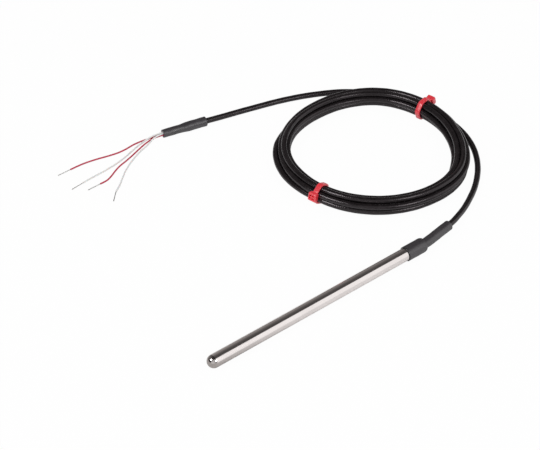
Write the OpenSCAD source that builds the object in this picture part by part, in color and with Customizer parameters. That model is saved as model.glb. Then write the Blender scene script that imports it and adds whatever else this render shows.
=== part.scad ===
// RTD temperature probe on a cable: a four-wire platinum element in a closed steel sheath, with a
// shrink-sleeve strain relief, a coil of cable held by two cable ties, and four bared leads.
// Millimetres. The sheath lies along X with its tip towards -X, and +Z is up. The origin is on the
// sheath's axis, where the sheath leaves the strain relief. The probe lies on z = floor_z.

/* [Sheath] */
// Outside diameter of the sheath
sheath_d = 6; // [5.6:0.1:8]
// Length of the sheath from its domed tip to its rear end
sheath_len = 120; // [80:1:250]
// Wall of the sheath
sheath_wall = 0.5; // [0.3:0.05:0.6]
// Depth to which the rear end is swaged down under the strain relief
swage = 0.2; // [0.16:0.02:0.3]

/* [Sensing element] */
// Diameter of the ceramic element
element_d = 2.8; // [2:0.1:3]
// Length of the ceramic element
element_len = 15; // [8:0.5:25]
// Gap between the element and the inside of the tip
tip_gap = 1.2; // [0.8:0.1:3]
// Diameter of the element's own wires
element_wire_d = 0.35; // [0.2:0.05:0.4]
// Length of the element's own wires, from the element to the end inside the splice
element_wire_len = 9; // [7:0.5:14]
// Length of the thermal filling behind the element
fill_tail = 2; // [0.5:0.5:4]

/* [Splices] */
// Length of each crimped splice
splice_len = 5; // [4:0.5:8]
// Wall of each crimped splice
splice_wall = 0.25; // [0.15:0.05:0.3]
// Wall of the insulating sleeve around the splices
insulation_wall = 0.3; // [0.2:0.05:0.4]
// Length of the insulating sleeve
insulation_len = 14; // [10:0.5:20]

/* [Cable] */
// Outside diameter of the cable
cable_d = 2.8; // [2.4:0.1:3]
// Diameter of each insulated core
core_d = 0.75; // [0.6:0.05:0.8]
// Diameter of the conductor in each core
wire_d = 0.4; // [0.25:0.05:0.5]
// Length of the stripped end of each core inside its splice
strip_len = 2; // [1:0.25:2.25]
// Length of cable held in the seal
cable_grip = 6; // [3:0.5:6]

/* [Strain relief] */
// Wall of the strain relief around the sheath
relief_wall = 0.65; // [0.35:0.05:1]
// Wall of the strain relief around the cable
relief_cable_wall = 0.95; // [0.6:0.05:1.1]
// Length of the sheath held in the strain relief
grip_len = 10; // [8:0.5:16]
// Length of the shoulder between the two diameters
shoulder_len = 1.2; // [1:0.1:3]
// Length of the narrow part on the cable, along its axis
relief_tail = 17.6; // [12:0.1:30]
// Length of the bend at the start of the narrow part
relief_bend_len = 3; // [2:0.5:6]
// Angle through which the narrow part bends
relief_bend = 9; // [4:1:20]

/* [Cable coil] */
// Radius of the coil, to the middle of its turns
coil_r = 41.6; // [38:0.1:60]
// Diameter of the bundle of turns
bundle_d = 9.3; // [8.4:0.1:10.5]
// Position of the coil's centre in front of the strain relief
coil_x = 37.3; // [30:0.1:80]
// Position of the coil's centre beside the strain relief
coil_y = 63.7; // [60:0.1:90]

/* [Cable ties] */
// Width of the strap
strap_w = 2.4; // [1.8:0.1:3.6]
// Thickness of the strap
strap_t = 1; // [0.7:0.1:1.3]
// Width of the head, along the bundle
head_w = 4.2; // [4:0.1:6]
// Length of the head, around the bundle
head_len = 4; // [3.6:0.1:7]
// Height of the head above the strap
head_h = 2.4; // [2:0.1:4]
// Clearance of the strap's end in the head's window
window_gap = 0.3; // [0.2:0.05:0.4]
// Angle of each head around the bundle, from the outside towards the top
head_angle = 15; // [0:1:90]
// Place of the upper tie around the coil
upper_tie_angle = 12; // [10:1:15]
// Place of the lower tie around the coil
lower_tie_angle = 193; // [120:1:240]

/* [End sleeve] */
// Length of the shrink sleeve at the cable's end
end_sleeve_len = 22.5; // [16:0.5:30]
// Wall of the end sleeve around the cable
end_sleeve_wall = 1; // [0.5:0.05:1.4]
// Diameter of the end sleeve where the leads come out
end_sleeve_lead_d = 4.2; // [3.4:0.1:4.6]
// Length of cable held in the end sleeve
end_grip = 11; // [8:0.5:14]
// Length of the end sleeve's taper
end_taper = 5; // [3:0.5:6]

/* [Leads] */
// Length of each bared conductor
bare_len = 7; // [4:0.5:12]

/* [Hidden] */
$fn = 96;
fit = 0.03;       // clearance between pieces that touch
skin = 0.01;      // how far a cut reaches past the face it opens

// Sheath
sheath_r = sheath_d / 2;
bore_r = sheath_r - sheath_wall;
neck_r = sheath_r - swage;
neck_bore_r = neck_r - sheath_wall;
tip_x = grip_len - sheath_len;            // outermost point of the dome
dome_x = tip_x + sheath_r;                // centre of the dome

// Inner pieces, from the tip backwards
element_x = dome_x - bore_r + tip_gap;
element_end_x = element_x + element_len;
fill_end_x = element_end_x + fill_tail;
wire_end_x = element_end_x + element_wire_len;
splice_x = wire_end_x - splice_len / 2;   // the element's wire reaches the splice's middle
splice_end_x = splice_x + splice_len;
core_pitch = core_d + 0.25;               // distance between neighbouring cores
wire_y = core_pitch / 2;
insulation_r = bore_r - fit;
seal_x = -sheath_wall;                    // the seal starts at the step in the bore
jacket_x = grip_len - cable_grip;         // where the cable's jacket ends inside the seal

// Strain relief
relief_r = neck_r + relief_wall;
relief_cable_r = cable_d / 2 + relief_cable_wall;
cable_bore_r = cable_d / 2 + fit;
bend_x = grip_len + shoulder_len;
bend_r = relief_bend_len / (relief_bend * PI / 180);
relief_straight = relief_tail - relief_bend_len;
floor_z = -relief_r;

// Coil and ties
bundle_r = bundle_d / 2;
strap_r = bundle_r + fit;
bundle_z = floor_z + strap_r + strap_t;

// End sleeve: its cable end, and its direction towards the leads
end_sleeve_x = -7.5;
end_sleeve_y = 133.6;
end_sleeve_angle = 167;
end_sleeve_r = cable_d / 2 + end_sleeve_wall;
end_sleeve_lead_r = end_sleeve_lead_d / 2;
lead_spread = core_d * 0.6;               // distance of each lead from the end sleeve's axis, both ways
lead_bore_r = lead_spread * sqrt(2) + core_d / 2 + fit;

// Routes, as [x, y, height of the axis above the floor]
cable_height = cable_d / 2;
start_route = [
    [32.6, 3.6, 3.1], [36.7, 5.2, 2.6], [43, 7.9, 1.9], [50.7, 11.9, 1.5], [58.2, 16.5, 1.4],
    [65.2, 22, 1.4], [70.9, 27.8, 1.4], [76, 34.6, 1.4], [79.6, 41.2, 1.4], [81.9, 47.6, 1.4],
    [83.3, 54.3, 1.4], [83.7, 60.9, 1.4], [83.2, 67.3, 1.4]
];
tail_route = [
    [80.6, 79.4, 1.4], [78.5, 85.6, 1.4], [75.6, 91.5, 1.4], [71.7, 98.1, 1.4], [66.9, 104.4, 1.4],
    [62, 109.2, 1.4], [56.2, 113.4, 1.4], [50, 116.9, 1.4], [42.5, 120.5, 1.4], [34, 123.8, 1.4],
    [26.2, 126.2, 1.4], [18, 128.4, 1.4], [9, 130.6, 1.5], [0.4, 132.2, 1.9]
];
red_a_route = [
    [-34.6, 140.9, 1.1], [-38.8, 142.2, 0.6], [-43.4, 142.7, 0.4], [-48.6, 142.2, 0.4], [-52.6, 142.2, 0.4],
    [-57.6, 143.1, 0.4], [-63.6, 144.6, 0.4], [-69.6, 145.7, 0.4], [-74.2, 146, 0.4], [-77.8, 146, 0.4]
];
red_b_route = [
    [-34.4, 139.9, 1.1], [-38.6, 139.7, 0.6], [-43.6, 138.3, 0.4], [-49.2, 136.3, 0.4], [-54, 134.8, 0.4],
    [-58.6, 133.5, 0.4], [-62.4, 131.8, 0.4], [-65.8, 130, 0.4], [-69.2, 128.7, 0.4], [-73.2, 128.5, 0.4]
];
white_a_route = [
    [-34.8, 140.6, 2], [-40.8, 140.9, 0.6], [-46.8, 139.3, 0.4], [-52.6, 137.4, 0.4], [-58.2, 136.1, 0.4],
    [-63.8, 135.3, 0.4], [-69.2, 134.9, 0.4], [-74, 134.7, 0.4], [-78.8, 134.2, 0.4]
];
white_b_route = [
    [-34, 139, 2], [-39, 138, 0.6], [-44.4, 136.4, 0.4], [-49.8, 134, 0.4], [-54.8, 131.3, 0.4],
    [-59.2, 128.4, 0.4], [-63, 125.2, 0.4], [-67, 121.9, 0.4], [-70.9, 119.3, 0.4]
];

steel = [0.76, 0.75, 0.73];
shrink = [0.22, 0.22, 0.23];
cable_black = [0.09, 0.09, 0.09];
tie_red = [0.9, 0.15, 0.18];
lead_red = [0.82, 0.14, 0.18];
lead_white = [0.88, 0.88, 0.87];
ceramic = [0.93, 0.92, 0.88];
tinned = [0.72, 0.71, 0.7];

// ---- helpers ----

// A piece drawn along +Z, laid along +X from x
module along_x(x = 0) {
    translate([x, 0, 0]) rotate([0, 90, 0]) children();
}

// A rod of length l and radius r along +X from x, at y and z
module rod(x, l, r, y = 0, z = 0) {
    translate([0, y, z]) along_x(x) cylinder(h = l, r = r);
}

function unit(v) = v / norm(v);

// The direction of a route at its point i, from the points on either side
function heading(p, i) = unit(p[min(i + 1, len(p) - 1)] - p[max(i - 1, 0)]);

// A ring of points around route point c, square to direction t, its first point straight below c
function ring(c, t, r, sides) =
    let (side = unit(cross(t, [0, 0, 1])), top = cross(side, t))
    [for (k = [0 : sides - 1]) c + r * (sin(360 * k / sides) * side - cos(360 * k / sides) * top)];

// A tube of radius r swept along the points p
module tube(p, r, sides = 8) {
    last = (len(p) - 1) * sides;
    points = [for (i = [0 : len(p) - 1]) each ring(p[i], heading(p, i), r, sides)];
    walls = [
        for (i = [0 : len(p) - 2], k = [0 : sides - 1])
        let (a = i * sides + k, b = i * sides + (k + 1) % sides)
        each [[a, b, b + sides], [a, b + sides, a + sides]]
    ];
    caps = [[for (k = [0 : sides - 1]) sides - 1 - k], [for (k = [0 : sides - 1]) last + k]];
    polyhedron(points = points, faces = concat(caps, walls), convexity = 6);
}

// The points of a route, laid on the floor
function on_floor(route) = [for (p = route) p + [0, 0, floor_z]];

// A point on the strain relief's axis: at a share of its bend, then a distance straight on
function relief_point(share, on = 0) =
    let (a = relief_bend * share)
    [bend_x + bend_r * sin(a) + on * cos(a), bend_r * (1 - cos(a)) + on * sin(a), 0];

// A point in the end sleeve: s along it from the cable's end, then to its side and up
function end_sleeve_point(s, side = 0, up = 0) =
    [
        end_sleeve_x + s * cos(end_sleeve_angle) - side * sin(end_sleeve_angle),
        end_sleeve_y + s * sin(end_sleeve_angle) + side * cos(end_sleeve_angle),
        floor_z + end_sleeve_r + up
    ];

// ---- sheath and what it holds ----

// A drawn tube with a hemispherical closed tip, and its rear end swaged down
module sheath() {
    color(steel) difference() {
        union() {
            translate([dome_x, 0, 0]) sphere(r = sheath_r);
            rod(dome_x, -dome_x, sheath_r);
            rod(0, grip_len, neck_r);
        }
        translate([dome_x, 0, 0]) sphere(r = bore_r);
        rod(dome_x, seal_x - dome_x, bore_r);
        rod(seal_x - skin, grip_len - seal_x + 2 * skin, neck_bore_r);
    }
}

// A wire-wound element in a ceramic rod with chamfered ends, bored for its two wires
module sensing_element() {
    chamfer = 0.3;
    r = element_d / 2;
    color(ceramic) difference() {
        along_x(element_x) rotate_extrude() polygon([
            [0, 0], [r - chamfer, 0], [r, chamfer],
            [r, element_len - chamfer], [r - chamfer, element_len], [0, element_len]
        ]);
        for (side = [-1, 1]) rod(element_end_x - 2, 2 + skin, element_wire_d / 2, side * wire_y);
    }
}

// One of the element's platinum wires, from its bore to the middle of a splice
module element_wire(side) {
    color(tinned) rod(element_end_x - 2, element_wire_len + 2, element_wire_d / 2, side * wire_y);
}
module element_wire_a() { element_wire(1); }
module element_wire_b() { element_wire(-1); }

// Heat-conducting filling cast into the tip around the element
module thermal_fill() {
    color([0.95, 0.95, 0.93]) difference() {
        union() {
            translate([dome_x, 0, 0]) sphere(r = bore_r);
            rod(dome_x, fill_end_x - dome_x, bore_r);
        }
        sensing_element_space();
        for (side = [-1, 1]) {
            rod(element_end_x, fill_tail + skin, element_wire_d / 2, side * wire_y);
        }
    }
}

// The space that the element takes in the filling
module sensing_element_space() {
    rod(element_x, element_len, element_d / 2);
}

// A flat-sided crimp: the element's wire goes in at the front, and the bared ends of two cores at the rear
module splice(side) {
    half_w = wire_d / 2 + splice_wall;
    color(tinned) difference() {
        union() {
            for (z = [-1, 1]) rod(splice_x, splice_len, half_w, side * wire_y, z * wire_y);
            translate([splice_x, side * wire_y - half_w, -wire_y]) cube([splice_len, 2 * half_w, core_pitch]);
        }
        rod(splice_x - skin, splice_len / 2 + skin, element_wire_d / 2, side * wire_y);
        for (z = [-1, 1]) {
            rod(splice_end_x - strip_len, strip_len + skin, wire_d / 2, side * wire_y, z * wire_y);
        }
    }
}
module splice_a() { splice(1); }
module splice_b() { splice(-1); }

// A glass-fibre sleeve from the filling back over the splices, which keeps them off the sheath
module insulating_sleeve() {
    color([0.86, 0.82, 0.7]) difference() {
        rod(fill_end_x, insulation_len, insulation_r);
        rod(fill_end_x - skin, insulation_len + 2 * skin, insulation_r - insulation_wall);
    }
}

// One core of the cable inside the sheath, with its bared end in a splice
module inner_core(side, z, tint) {
    color(tint) union() {
        rod(splice_end_x, jacket_x - splice_end_x, core_d / 2, side * wire_y, z * wire_y);
        rod(splice_end_x - strip_len, strip_len + skin, wire_d / 2, side * wire_y, z * wire_y);
    }
}
module inner_core_red_a() { inner_core(1, 1, lead_red); }
module inner_core_red_b() { inner_core(1, -1, lead_red); }
module inner_core_white_a() { inner_core(-1, 1, lead_white); }
module inner_core_white_b() { inner_core(-1, -1, lead_white); }

// Epoxy cast in the sheath's rear end, around the four cores and the end of the jacket
module seal() {
    color([0.16, 0.16, 0.15]) difference() {
        rod(seal_x, grip_len - seal_x, neck_bore_r);
        rod(jacket_x, cable_grip + skin, cable_d / 2);
        for (y = [-1, 1], z = [-1, 1]) {
            rod(seal_x - skin, jacket_x - seal_x + 2 * skin, core_d / 2, y * wire_y, z * wire_y);
        }
    }
}

// ---- strain relief ----

// Adhesive-lined shrink sleeve: it grips the swaged end, drops over its edge along half a cosine
// wave, bends a little and runs straight on along the cable
module strain_relief() {
    steps = 12;
    lip = 0.05;
    drop = relief_r - relief_cable_r - lip;
    start = grip_len - shoulder_len / 2;
    shoulder = [
        for (i = [0 : steps])
        [relief_r - drop * (1 - cos(180 * i / steps)) / 2, start + (bend_x - start) * i / steps]
    ];
    color(shrink) union() {
        along_x() rotate_extrude() polygon(concat(
            [[neck_r, 0], [relief_r, 0]], shoulder,
            [[cable_bore_r, bend_x], [cable_bore_r, grip_len], [neck_r, grip_len]]
        ));
        translate([bend_x, bend_r, 0]) rotate([0, 0, -90])
            rotate_extrude(angle = relief_bend) translate([bend_r, 0]) difference() {
                circle(r = relief_cable_r);
                circle(r = cable_bore_r);
            }
        translate(relief_point(1, -lip)) rotate([0, 90, relief_bend]) difference() {
            cylinder(h = relief_straight + lip, r = relief_cable_r - lip);
            translate([0, 0, -skin]) cylinder(h = relief_straight + lip + 2 * skin, r = cable_bore_r + lip);
        }
    }
}

// ---- cable ----

// The cable from its jacket's end in the seal, through the strain relief and round to the coil
module cable_start() {
    bend_steps = 3;
    inside = [
        [jacket_x, 0, 0], for (i = [0 : bend_steps]) relief_point(i / bend_steps), relief_point(1, relief_straight)
    ];
    color(cable_black) tube(concat(inside, on_floor(start_route)), cable_d / 2);
}

// The outer shape of the coil's turns
module cable_coil() {
    color(cable_black) translate([coil_x, coil_y, bundle_z])
        rotate_extrude() translate([coil_r, 0]) circle(r = bundle_r);
}

// The cable from the coil to its jacket's end in the end sleeve
module cable_tail() {
    inside = [end_sleeve_point(0), end_sleeve_point(end_grip)];
    color(cable_black) tube(concat(on_floor(tail_route), inside), cable_d / 2);
}

// ---- cable ties ----

// A block centred on the origin, rounded on the edges that run along X
module rounded_block(size, r) {
    translate([-size[0] / 2, 0, 0]) rotate([90, 0, 90]) linear_extrude(size[0]) union() {
        square([size[1] - 2 * r, size[2]], center = true);
        square([size[1], size[2] - 2 * r], center = true);
        for (a = [-1, 1], b = [-1, 1]) {
            translate([a * (size[1] / 2 - r), b * (size[2] / 2 - r)]) circle(r = r, $fn = 32);
        }
    }
}

// The tie's head, standing out along X: a block with a window, and in it the strap's end, cut flush
module tie_head() {
    round_r = 0.6;
    window_depth = head_h * 0.6;
    difference() {
        rounded_block([head_h, head_w, head_len], round_r);
        translate([head_h / 2 - window_depth, 0, 0]) difference() {
            translate([0, -strap_w / 2 - window_gap, -strap_t / 2 - window_gap])
                cube([window_depth + skin, strap_w + 2 * window_gap, strap_t + 2 * window_gap]);
            translate([-skin, -strap_w / 2, -strap_t / 2]) cube([window_depth, strap_w, strap_t]);
        }
    }
}

// A moulded nylon tie closed around the bundle, at an angle around the coil
module tie(angle) {
    color(tie_red)
    translate([coil_x, coil_y, 0]) rotate([0, 0, angle]) translate([coil_r, 0, bundle_z]) union() {
        rotate([90, 0, 0]) difference() {
            cylinder(h = strap_w, r = strap_r + strap_t, center = true);
            cylinder(h = strap_w + 2 * skin, r = strap_r, center = true);
        }
        rotate([0, -head_angle, 0]) difference() {
            translate([strap_r + strap_t / 2 + head_h / 2, 0, 0]) tie_head();
            rotate([90, 0, 0]) cylinder(h = head_w + 2, r = strap_r + strap_t / 4, center = true);
        }
    }
}
module tie_upper() { tie(upper_tie_angle); }
module tie_lower() { tie(lower_tie_angle); }

// ---- end sleeve and leads ----

// Shrink sleeve over the cable's end and the start of the leads, with a taper where the jacket ends
module end_sleeve() {
    steps = 8;
    drop = end_sleeve_r - end_sleeve_lead_r;
    taper = [
        for (i = [0 : steps])
        [end_sleeve_lead_r + drop * (1 + cos(180 * i / steps)) / 2, end_grip + end_taper * (i / steps - 0.4)]
    ];
    color(shrink) translate(end_sleeve_point(0)) rotate([0, 90, end_sleeve_angle]) difference() {
        rotate_extrude() polygon(concat(
            [[0, 0], [end_sleeve_r, 0]], taper, [[end_sleeve_lead_r, end_sleeve_len], [0, end_sleeve_len]]
        ));
        translate([0, 0, -skin]) cylinder(h = end_grip + skin, r = cable_d / 2);
        translate([0, 0, end_grip - skin]) cylinder(h = end_sleeve_len - end_grip + 2 * skin, r = lead_bore_r);
    }
}

// A lead's points: straight out of the end sleeve, one of four in a square, then along its route
function lead_points(route, side, up) = concat(
    [for (s = [end_grip, end_sleeve_len]) end_sleeve_point(s, side * lead_spread, up * lead_spread)],
    on_floor(route)
);

module lead(route, side, up, tint) {
    color(tint) tube(lead_points(route, side, up), core_d / 2);
}
module lead_red_a() { lead(red_a_route, -1, -1, lead_red); }
module lead_red_b() { lead(red_b_route, 1, -1, lead_red); }
module lead_white_a() { lead(white_a_route, -1, 1, lead_white); }
module lead_white_b() { lead(white_b_route, 1, 1, lead_white); }

// The bared conductor past the end of a lead's insulation, turned aside by an angle
module bare_end(route, turn) {
    points = on_floor(route);
    tip = points[len(points) - 1];
    out = heading(points, len(points) - 1);
    clear = wire_d / 2 * sin(turn);   // so that the turned rod's edge doesn't enter the insulation
    color(tinned) translate(tip + clear * out) rotate([0, 90, atan2(out[1], out[0]) + turn])
        cylinder(h = bare_len, r = wire_d / 2);
}
module bare_end_red_a() { bare_end(red_a_route, 0); }
module bare_end_red_b() { bare_end(red_b_route, 0); }
module bare_end_white_a() { bare_end(white_a_route, 0); }
module bare_end_white_b() { bare_end(white_b_route, 12); }

sheath();
sensing_element();
element_wire_a();
element_wire_b();
thermal_fill();
splice_a();
splice_b();
insulating_sleeve();
inner_core_red_a();
inner_core_red_b();
inner_core_white_a();
inner_core_white_b();
seal();
strain_relief();
cable_start();
cable_coil();
cable_tail();
tie_upper();
tie_lower();
end_sleeve();
lead_red_a();
lead_red_b();
lead_white_a();
lead_white_b();
bare_end_red_a();
bare_end_red_b();
bare_end_white_a();
bare_end_white_b();
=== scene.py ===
"""Cable resistance thermometer probe: steel sheath, coiled cable with two ties, end sleeve and four leads."""

import math

import bpy
import numpy as np
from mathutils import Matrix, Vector


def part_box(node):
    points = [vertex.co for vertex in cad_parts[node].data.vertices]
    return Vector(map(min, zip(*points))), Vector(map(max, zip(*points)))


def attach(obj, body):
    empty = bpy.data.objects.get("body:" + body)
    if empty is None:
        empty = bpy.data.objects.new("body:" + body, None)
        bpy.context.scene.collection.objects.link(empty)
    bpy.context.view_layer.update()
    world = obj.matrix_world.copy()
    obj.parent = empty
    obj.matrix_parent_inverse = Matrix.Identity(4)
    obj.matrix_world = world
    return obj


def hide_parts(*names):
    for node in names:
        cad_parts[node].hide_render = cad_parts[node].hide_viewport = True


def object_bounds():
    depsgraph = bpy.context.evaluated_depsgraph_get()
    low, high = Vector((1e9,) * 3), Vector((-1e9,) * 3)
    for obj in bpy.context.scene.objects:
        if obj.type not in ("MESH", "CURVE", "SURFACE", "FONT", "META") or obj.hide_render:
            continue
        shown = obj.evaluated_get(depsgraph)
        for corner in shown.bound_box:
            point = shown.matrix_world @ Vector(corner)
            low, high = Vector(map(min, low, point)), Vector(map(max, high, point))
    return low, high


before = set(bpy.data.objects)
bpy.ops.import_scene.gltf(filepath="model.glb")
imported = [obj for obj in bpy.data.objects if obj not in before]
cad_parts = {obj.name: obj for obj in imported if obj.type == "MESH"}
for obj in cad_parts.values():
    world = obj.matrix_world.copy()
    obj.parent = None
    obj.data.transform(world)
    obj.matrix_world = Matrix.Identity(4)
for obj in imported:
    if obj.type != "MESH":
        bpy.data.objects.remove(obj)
cad_box = [list(corner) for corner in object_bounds()]

MM = 0.001
UP = np.array([0.0, 0.0, 1.0])


def box_mm(node):
    """Lowest and highest corner of a CAD node, in millimetres."""
    low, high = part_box(node)
    return np.array(low) / MM, np.array(high) / MM


# ---- sizes, in millimetres, as in the part's source ----

FLOOR = cad_box[0][2] / MM

sheath_low, sheath_high = box_mm("sheath")
TIP_X = sheath_low[0]
SHEATH_R = (sheath_high[2] - sheath_low[2]) / 2
GRIP_LEN = sheath_high[0]
SHEATH_WALL = 0.5
NECK_R = SHEATH_R - 0.2

RELIEF_R = -FLOOR
RELIEF_CABLE_R = 2.35
BEND_X = GRIP_LEN + 1.2
RELIEF_TAIL = 17.6
RELIEF_BEND_LEN = 3.0
RELIEF_BEND = math.radians(9)
BEND_R = RELIEF_BEND_LEN / RELIEF_BEND

CABLE_D = 2.8
CABLE_R = CABLE_D / 2
coil_low, coil_high = box_mm("cable_coil")
COIL_X, COIL_Y = (coil_low[:2] + coil_high[:2]) / 2
BUNDLE_R = (coil_high[2] - coil_low[2]) / 2
COIL_R = (coil_high[0] - coil_low[0]) / 2 - BUNDLE_R
BUNDLE_HEIGHT = (coil_high[2] + coil_low[2]) / 2 - FLOOR

STRAP_W = 2.4
STRAP_T = 1.0
HEAD_W, HEAD_LEN, HEAD_H = 4.2, 4.0, 2.4
HEAD_ANGLE = math.radians(15)
UPPER_TIE = 12
LOWER_TIE = 193

SLEEVE_START = np.array([-7.5, 133.6])
SLEEVE_ANGLE = math.radians(167)
SLEEVE_LEN = 22.5
SLEEVE_R = CABLE_R + 1.0
SLEEVE_LEAD_R = 2.1
SLEEVE_GRIP = 11.0
CORE_D = 0.75
LEAD_SPREAD = 0.45
BARE_LEN = 7.0
WIRE_D = 0.4

# Routes as in the part's source: x, y and height of the axis above the floor
START_ROUTE = [
    [32.6, 3.6, 3.1], [36.7, 5.2, 2.6], [43, 7.9, 1.9], [50.7, 11.9, 1.5], [58.2, 16.5, 1.4],
    [65.2, 22, 1.4], [70.9, 27.8, 1.4], [76, 34.6, 1.4], [79.6, 41.2, 1.4], [81.9, 47.6, 1.4],
    [83.3, 54.3, 1.4], [83.7, 60.9, 1.4], [83.2, 67.3, 1.4],
]
TAIL_ROUTE = [
    [80.6, 79.4, 1.4], [78.5, 85.6, 1.4], [75.6, 91.5, 1.4], [71.7, 98.1, 1.4], [66.9, 104.4, 1.4],
    [62, 109.2, 1.4], [56.2, 113.4, 1.4], [50, 116.9, 1.4], [42.5, 120.5, 1.4], [34, 123.8, 1.4],
    [26.2, 126.2, 1.4], [18, 128.4, 1.4], [9, 130.6, 1.5], [0.4, 132.2, 1.9],
]
LEAD_ROUTES = {
    "red_a": [
        [-34.6, 140.9, 1.1], [-38.8, 142.2, 0.6], [-43.4, 142.7, 0.4], [-48.6, 142.2, 0.4],
        [-52.6, 142.2, 0.4], [-57.6, 143.1, 0.4], [-63.6, 144.6, 0.4], [-69.6, 145.7, 0.4],
        [-74.2, 146, 0.4], [-77.8, 146, 0.4],
    ],
    "red_b": [
        [-34.4, 139.9, 1.1], [-38.6, 139.7, 0.6], [-43.6, 138.3, 0.4], [-49.2, 136.3, 0.4], [-54, 134.8, 0.4],
        [-58.6, 133.5, 0.4], [-62.4, 131.8, 0.4], [-65.8, 130, 0.4], [-69.2, 128.7, 0.4], [-73.2, 128.5, 0.4],
    ],
    "white_a": [
        [-34.8, 140.6, 2], [-40.8, 140.9, 0.6], [-46.8, 139.3, 0.4], [-52.6, 137.4, 0.4], [-58.2, 136.1, 0.4],
        [-63.8, 135.3, 0.4], [-69.2, 134.9, 0.4], [-74, 134.7, 0.4], [-78.8, 134.2, 0.4],
    ],
    "white_b": [
        [-34, 139, 2], [-39, 138, 0.6], [-44.4, 136.4, 0.4], [-49.8, 134, 0.4], [-54.8, 131.3, 0.4],
        [-59.2, 128.4, 0.4], [-63, 125.2, 0.4], [-67, 121.9, 0.4], [-70.9, 119.3, 0.4],
    ],
}
LEAD_SEATS = {"red_a": (-1, -1), "red_b": (1, -1), "white_a": (-1, 1), "white_b": (1, 1)}
WHITE_B_TURN = math.radians(12)


# ---- camera ----

camera_data = bpy.data.cameras.new("camera")
camera_data.sensor_width = 36
camera_data.lens = 133.33
camera_data.clip_end = 20
camera = bpy.data.objects.new("camera", camera_data)
bpy.context.collection.objects.link(camera)
azimuth, elevation, distance = math.radians(-39.24), math.radians(40), 0.902
look_at = Vector((-30.82 * MM, 56.42 * MM, FLOOR * MM))
back = Vector((
    math.sin(azimuth) * math.cos(elevation), -math.cos(azimuth) * math.cos(elevation), math.sin(elevation)
))
camera.location = look_at + back * distance
camera.rotation_euler = (-back).to_track_quat("-Z", "Y").to_euler()
bpy.context.scene.camera = camera


# ---- surfaces from grids ----

def put_mesh(name, points, quads, caps, uv):
    """A mesh object from points in millimetres, quads, end caps and a place on the pattern for each quad
    corner. The signed volume, a third of the sum of each face's point times its area vector, tells whether
    to turn it."""
    corner = points[quads]
    area = np.cross(corner[:, 2] - corner[:, 0], corner[:, 3] - corner[:, 1]) / 2
    turn = np.einsum("ij,ij->", corner.mean(1), area) < 0
    if turn:
        quads, uv = quads[:, ::-1], uv[:, ::-1]
        caps = [cap[::-1] for cap in caps]
    loops = np.concatenate([quads.ravel()] + caps)
    sizes = np.concatenate([np.full(len(quads), 4), [len(cap) for cap in caps]]).astype(int)
    starts = np.concatenate([[0], np.cumsum(sizes)[:-1]])
    mesh = bpy.data.meshes.new(name)
    mesh.vertices.add(len(points))
    mesh.vertices.foreach_set("co", (points * MM).ravel())
    mesh.loops.add(len(loops))
    mesh.loops.foreach_set("vertex_index", loops.astype(np.int32))
    mesh.polygons.add(len(sizes))
    mesh.polygons.foreach_set("loop_start", starts.astype(np.int32))
    mesh.polygons.foreach_set("use_smooth", np.ones(len(sizes), dtype=bool))
    layer = mesh.uv_layers.new(name="along_and_round")
    flat = np.zeros((len(loops), 2))
    flat[: quads.size] = uv.reshape(-1, 2)
    layer.data.foreach_set("uv", flat.ravel())
    mesh.update(calc_edges=True)
    mesh.validate()
    mesh.set_sharp_from_angle(angle=math.radians(50))
    piece = bpy.data.objects.new(name, mesh)
    bpy.context.collection.objects.link(piece)
    return piece


def grid_faces(grid, along, first=0, ring=False):
    """Quads between neighbouring rows of a grid whose columns close round; a ring closes its rows too. The
    pattern's first value is the distance along, its second the share of the way round."""
    rows, columns = grid.shape[:2]
    row = np.arange(rows if ring else rows - 1)[:, None]
    column = np.arange(columns)[None]
    next_row, next_column = (row + 1) % rows, (column + 1) % columns
    quads = np.stack([
        row * columns + column, row * columns + next_column,
        next_row * columns + next_column, next_row * columns + column,
    ], -1).reshape(-1, 4) + first
    along = np.concatenate([along, [2 * along[-1] - along[-2]]])
    u = np.stack([along[row], along[row], along[row + 1], along[row + 1]], -1)
    v = np.stack([column, column + 1, column + 1, column], -1) / columns
    uv = np.stack(np.broadcast_arrays(u, v), -1).reshape(-1, 4, 2)
    ends = [] if ring else [
        np.arange(columns)[::-1] + first, np.arange(columns) + (rows - 1) * columns + first
    ]
    return quads, ends, uv


def skin(name, grids, ring=False):
    """One mesh from one or more pairs of a grid and its distances along."""
    points, quads, caps, uvs, first = [], [], [], [], 0
    for grid, along in grids:
        q, ends, uv = grid_faces(grid, along, first, ring)
        points.append(grid.reshape(-1, 3))
        quads.append(q)
        caps += ends
        uvs.append(uv)
        first += grid.shape[0] * grid.shape[1]
    return put_mesh(name, np.concatenate(points), np.concatenate(quads), caps, np.concatenate(uvs))


# ---- paths ----

def lengths(path):
    """Distance of each point of a path from its start, along it."""
    return np.concatenate([[0], np.cumsum(np.linalg.norm(np.diff(path, axis=0), axis=1))])


def even(path, step):
    """A path's points taken again at even steps along it."""
    s = lengths(path)
    t = np.linspace(0, s[-1], max(3, int(round(s[-1] / step)) + 1))
    return np.stack([np.interp(t, s, path[:, k]) for k in range(3)], 1)


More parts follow.
